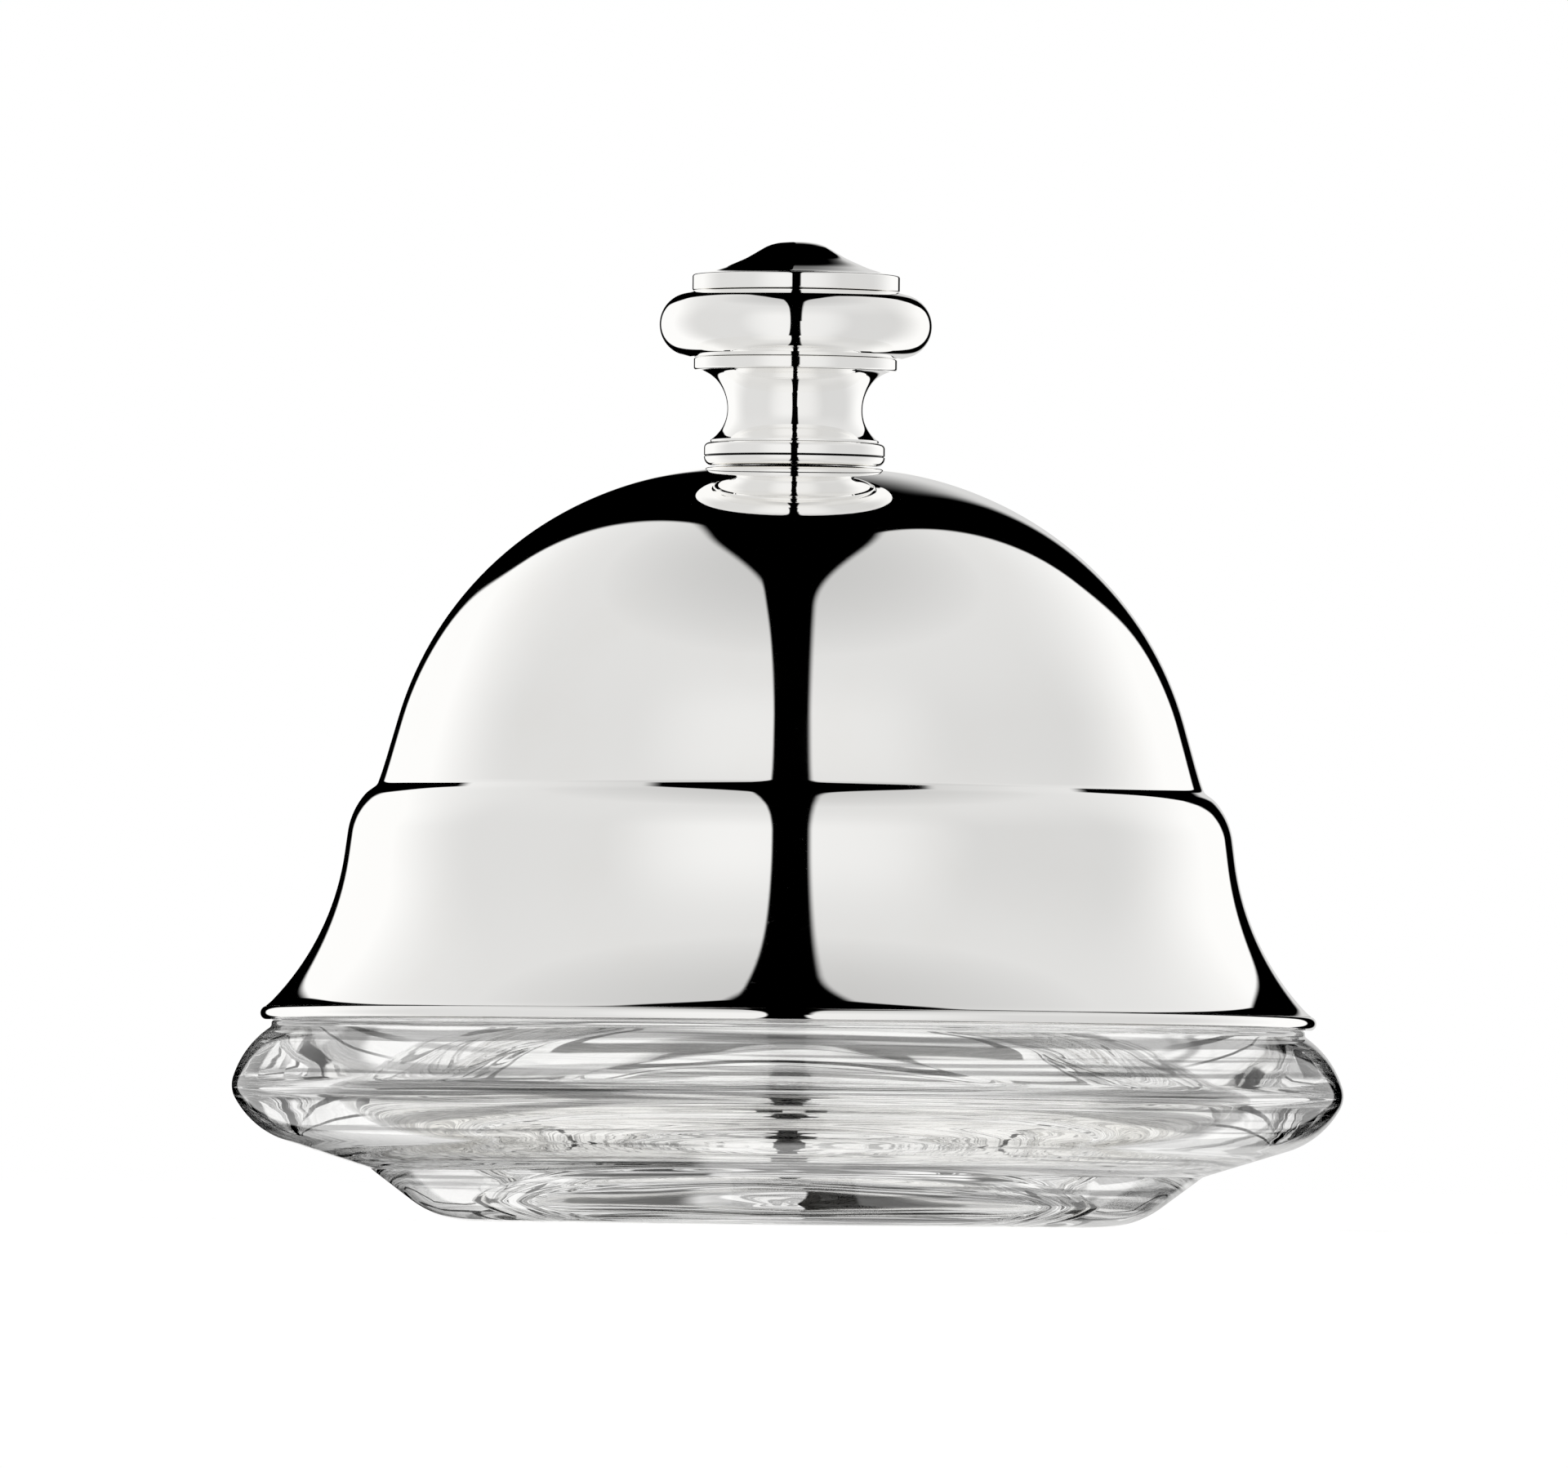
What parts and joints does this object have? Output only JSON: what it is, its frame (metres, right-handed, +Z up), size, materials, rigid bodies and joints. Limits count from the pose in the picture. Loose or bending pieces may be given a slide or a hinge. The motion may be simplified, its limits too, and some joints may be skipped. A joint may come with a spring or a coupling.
{
  "type": "table cloche on glass dish",
  "caption": "Bell-shaped polished metal cover with a turned knob, resting loose on a round clear glass dish with a centring lip and a foot ring.",
  "frame": {"origin": "centre of the dish's foot ring, on the table", "axes": "+Z up along the dish's and the cover's common axis; +X and +Y along the table, the pictured side faces -Y"},
  "size_m": [0.1252, 0.1252, 0.1107],
  "materials": {
    "silver_plate": "mirror-polished silver plate",
    "crystal": "clear pressed glass, fire-polished",
    "steel_hardware": "plain stainless fixing hardware"
  },
  "bodies": {
    "dish": {"glass_dish": "crystal"},
    "lift_carrier": {"backing_plate": "steel_hardware"},
    "cover": {"cover_shell": "silver_plate", "rim_band": "silver_plate", "foot_ring": "silver_plate", "waisted_neck": "silver_plate", "lower_ring": "silver_plate", "grip_ring": "silver_plate", "upper_ring": "silver_plate", "finial_cap": "silver_plate", "stud": "steel_hardware", "lock_washer": "steel_hardware", "cap_nut": "steel_hardware"}
  },
  "joints": [
    {"name": "cover_lift", "type": "slide", "parent": "dish", "child": "lift_carrier", "axis": [0, 0, 1], "range_m": [0, 0.12]},
    {"name": "cover_turn", "type": "hinge", "parent": "lift_carrier", "child": "cover", "pos_m": [0, 0, 0.084], "axis": [0, 0, 1], "continuous": true}
  ]
}
